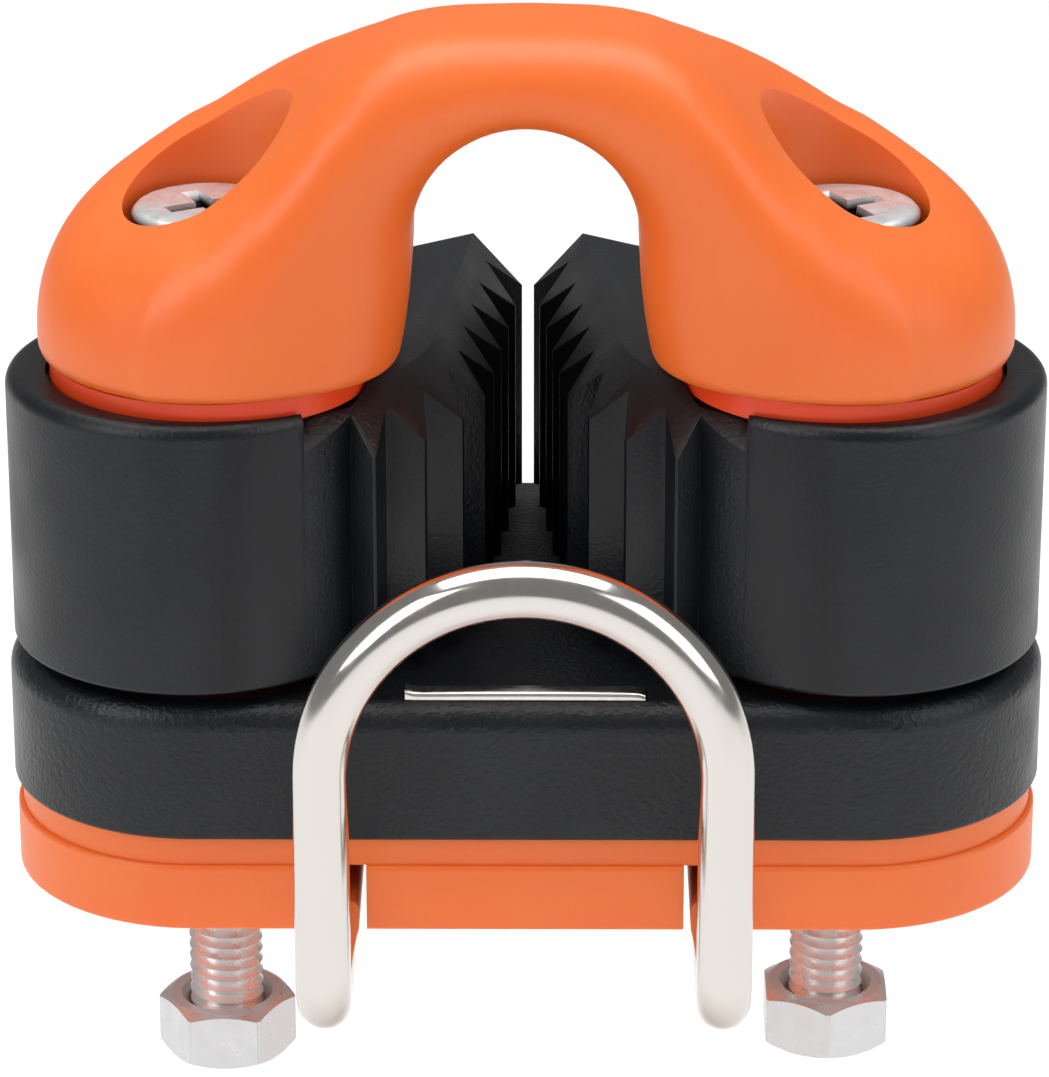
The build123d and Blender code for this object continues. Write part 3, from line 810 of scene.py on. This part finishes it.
# ball rows and springs
raceSizes = {"pitchRadius": 8.4, "ballRadius": 1.2, "count": 20, "rows": (22.4, 30.6)}
springSizes = {
    "wire": 0.45, "radius": 8.2, "start": 16.3, "pitch": 1.1, "turns": 3,
    "footLeg": 2.0, "camLeg": 3.4, "legTurn": 5,
}
g = springSizes
for name, side in sides.items():
    ring = grown(balls, {
        "Pitch Radius": raceSizes["pitchRadius"] * mm, "Ball Radius": raceSizes["ballRadius"] * mm,
        "Count": raceSizes["count"], "Material": ballSteel,
    })
    rows = joined([(ring, (side * screwAt, 0, height)) for height in raceSizes["rows"]])
    rows.shade_smooth()
    asPiece(
        name + "Balls", rows, name + "_balls", ballSteel,
        [name + "_lower_balls", name + "_upper_balls"],
    )

    inward = -side
    legAt = math.radians(g["legTurn"])
    middle = side * screwAt
    path = [(
        middle + inward * g["radius"] * math.cos(legAt),
        g["radius"] * math.sin(legAt),
        g["start"] - g["footLeg"],
    )]
    steps = 72 * g["turns"]
    for i in range(steps + 1):
        angle = legAt + (2 * math.pi * g["turns"] - 2 * legAt) * i / steps
        path.append((
            middle + inward * g["radius"] * math.cos(angle),
            g["radius"] * math.sin(angle),
            g["start"] + g["pitch"] * g["turns"] * i / steps,
        ))
    reach = g["radius"] + g["camLeg"]
    path.append((
        middle + inward * reach * math.cos(legAt), -reach * math.sin(legAt), path[-1][2],
    ))
    coil = grown(wires, {
        "Wire Radius": g["wire"] * mm, "Sides": 16, "Material": springSteel,
    }, pathCurve(path))
    smoothShade(coil, math.radians(50))
    spring = asPiece(name + "Spring", coil, None, springSteel, [name + "_spring"])
    foot = (middle * mm, 0, g["start"] * mm)
    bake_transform(spring)
print("moving parts ready")

# floor, light and camera
studio = {"floorHeight": -45.0, "floorSize": 4.0, "worldLight": 0.26}
floorMesh = bpy.data.meshes.new("floor")
reach = studio["floorSize"]
height = studio["floorHeight"] * mm
floorMesh.from_pydata([
    (-reach, -reach, height), (reach, -reach, height), (reach, reach, height), (-reach, reach, height),
], [], [(0, 1, 2, 3)])
floor = bpy.data.objects.new("floor", floorMesh)
bpy.context.scene.collection.objects.link(floor)
# matte white paper sweep
paper = newMaterial("matteWhitePaper", {"Base Color": toLinear("#ffffff"), "Roughness": 0.9})[0]
floorMesh.materials.append(paper)

world = bpy.data.worlds.new("studioAir")
world.use_nodes = True
world.node_tree.nodes["Background"].inputs["Color"].default_value = (1, 1, 1, 1)
world.node_tree.nodes["Background"].inputs["Strength"].default_value = studio["worldLight"]
bpy.context.scene.world = world

lamps = {
    "leftBox": {"at": (-0.55, -0.45, 0.45), "size": (0.4, 0.6), "power": 2.6},
    "rightBox": {"at": (0.6, -0.35, 0.4), "size": (0.5, 0.6), "power": 1.9},
    "topBox": {"at": (0.0, 0.1, 0.8), "size": (0.9, 0.7), "power": 6.4},
}
for name, lamp in lamps.items():
    light = bpy.data.lights.new(name, "AREA")
    light.shape = "RECTANGLE"
    light.size, light.size_y = lamp["size"]
    light.energy = lamp["power"]
    holder = bpy.data.objects.new(name, light)
    bpy.context.scene.collection.objects.link(holder)
    holder.location = lamp["at"]
    aim = Vector((0, 0, 0.02)) - Vector(lamp["at"])
    holder.rotation_euler = aim.to_track_quat("-Z", "Y").to_euler()

view = {
    "distance": 328.8,
    "elevation": 22.0,
    "azimuth": 0.3,
    "lookAt": (0, 0, 22.2),
    "focal": 5092.4,  # in the units of imageSize
    "axis": (526.0, 542.9),
}
imageSize = (1049, 1077)
cameraData = bpy.data.cameras.new("camera")
cameraData.lens = view["focal"] * cameraData.sensor_width / max(imageSize)
cameraData.shift_x = (imageSize[0] / 2 - view["axis"][0]) / max(imageSize)
cameraData.shift_y = (view["axis"][1] - imageSize[1] / 2) / max(imageSize)
camera = bpy.data.objects.new("camera", cameraData)
bpy.context.scene.collection.objects.link(camera)
turn, lift = math.radians(view["azimuth"]), math.radians(view["elevation"])
back = Vector((math.sin(turn) * math.cos(lift), -math.cos(turn) * math.cos(lift), math.sin(lift)))
camera.location = (Vector(view["lookAt"]) + back * view["distance"]) * mm
camera.rotation_mode = "QUATERNION"
camera.rotation_quaternion = (-back).to_track_quat("-Z", "Y")
cameraData.clip_start = 0.01
cameraData.clip_end = 10
bpy.context.scene.camera = camera
bpy.context.scene.view_settings.view_transform = "Standard"
print("studio ready")
